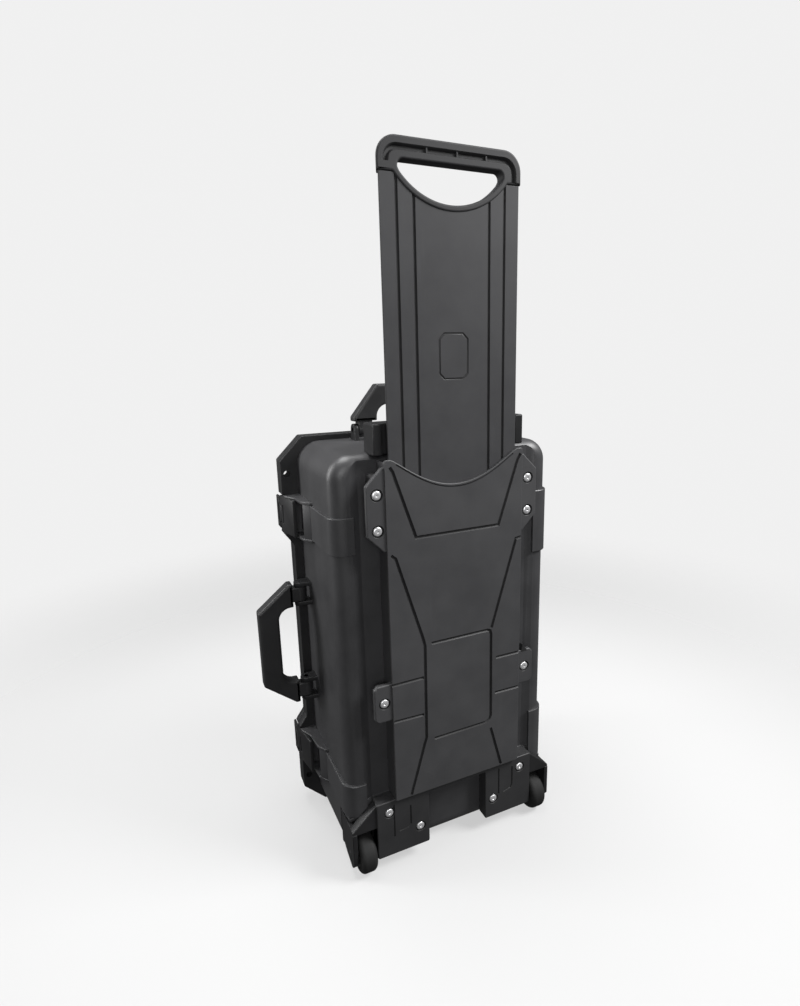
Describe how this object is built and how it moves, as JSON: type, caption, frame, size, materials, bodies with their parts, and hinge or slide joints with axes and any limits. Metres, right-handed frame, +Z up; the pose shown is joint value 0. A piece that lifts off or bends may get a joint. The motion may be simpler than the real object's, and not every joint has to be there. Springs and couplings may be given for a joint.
{
  "type": "hard equipment case",
  "caption": "Upright wheeled hard case for equipment, black plastic, with an extended pull handle, two carry handles and side latches.",
  "frame": {"origin": "under the base's rim, at the middle of its lower edge, on the surface that the case stands on", "axes": "+Z up, -Y towards the pull handle and the wheels, +Y towards the lid, +X towards the hinges and -X towards the latches"},
  "size_m": [0.4025, 0.2325, 0.873],
  "materials": {
    "shell_black": "finely textured moulding",
    "trim_black": "smooth satin moulding",
    "rubber_black": "dull rubber",
    "bright_steel": "bright plated"
  },
  "bodies": {
    "base": {"base_shell": "shell_black", "bracket_screw_left_1": "bright_steel", "bracket_screw_left_2": "bright_steel", "bracket_screw_right_1": "bright_steel", "bracket_screw_right_2": "bright_steel", "cover_screw_left_1": "bright_steel", "cover_screw_left_2": "bright_steel", "cover_screw_left_3": "bright_steel", "cover_screw_right_1": "bright_steel", "cover_screw_right_2": "bright_steel", "cover_screw_right_3": "bright_steel", "handle_collar": "trim_black", "handle_cover": "shell_black", "hinge_pin_lower": "bright_steel", "hinge_pin_upper": "bright_steel", "side_handle_pin_a": "bright_steel", "side_handle_pin_b": "bright_steel", "top_handle_pin_a": "bright_steel", "top_handle_pin_b": "bright_steel", "wheel_axle_left": "bright_steel", "wheel_axle_right": "bright_steel", "wheel_bracket": "trim_black"},
    "lid": {"lid_shell": "shell_black", "lid_seal": "rubber_black", "latch_lid_pin_upper": "bright_steel", "latch_lid_pin_lower": "bright_steel"},
    "latch_clamp_upper": {"latch_clamp_upper": "trim_black", "latch_lever_pin_upper": "bright_steel"},
    "latch_clamp_lower": {"latch_clamp_lower": "trim_black", "latch_lever_pin_lower": "bright_steel"},
    "latch_lever_upper": {"latch_lever_upper": "trim_black"},
    "latch_lever_lower": {"latch_lever_lower": "trim_black"},
    "side_handle": {"side_handle": "trim_black"},
    "top_handle": {"top_handle": "trim_black"},
    "pull_handle": {"pull_handle_plate": "shell_black", "pull_grip": "shell_black"},
    "wheel_left": {"wheel_tyre_left": "rubber_black", "wheel_hub_left": "trim_black"},
    "wheel_right": {"wheel_tyre_right": "rubber_black", "wheel_hub_right": "trim_black"}
  },
  "joints": [
    {"name": "lid_hinge", "type": "hinge", "parent": "base", "child": "lid", "pos_m": [0.1715, 0.007, 0.2795], "axis": [0, 0, -1], "range_deg": [0, 110]},
    {"name": "latch_clamp_upper_hinge", "type": "hinge", "parent": "lid", "child": "latch_clamp_upper", "pos_m": [-0.163, 0.0245, 0.4555], "axis": [0, 0, -1], "range_deg": [0, 75]},
    {"name": "latch_lever_upper_hinge", "type": "hinge", "parent": "latch_clamp_upper", "child": "latch_lever_upper", "pos_m": [-0.174, 0.0015, 0.4555], "axis": [0, 0, -1], "range_deg": [0, 80]},
    {"name": "latch_clamp_lower_hinge", "type": "hinge", "parent": "lid", "child": "latch_clamp_lower", "pos_m": [-0.163, 0.0245, 0.1035], "axis": [0, 0, -1], "range_deg": [0, 75]},
    {"name": "latch_lever_lower_hinge", "type": "hinge", "parent": "latch_clamp_lower", "child": "latch_lever_lower", "pos_m": [-0.174, 0.0015, 0.1035], "axis": [0, 0, -1], "range_deg": [0, 80]},
    {"name": "side_handle_hinge", "type": "hinge", "parent": "base", "child": "side_handle", "pos_m": [-0.166, -0.0295, 0.2795], "axis": [0, 0, 1], "range_deg": [0, 90]},
    {"name": "top_handle_hinge", "type": "hinge", "parent": "base", "child": "top_handle", "pos_m": [0, -0.0295, 0.565], "axis": [1, 0, 0], "range_deg": [0, 90]},
    {"name": "pull_handle_slide", "type": "slide", "parent": "base", "child": "pull_handle", "axis": [0, 0, 1], "range_m": [-0.31, 0]},
    {"name": "wheel_left_spin", "type": "hinge", "parent": "base", "child": "wheel_left", "pos_m": [-0.131, -0.1485, 0.026], "axis": [1, 0, 0], "continuous": true},
    {"name": "wheel_right_spin", "type": "hinge", "parent": "base", "child": "wheel_right", "pos_m": [0.131, -0.1485, 0.026], "axis": [1, 0, 0], "continuous": true}
  ]
}
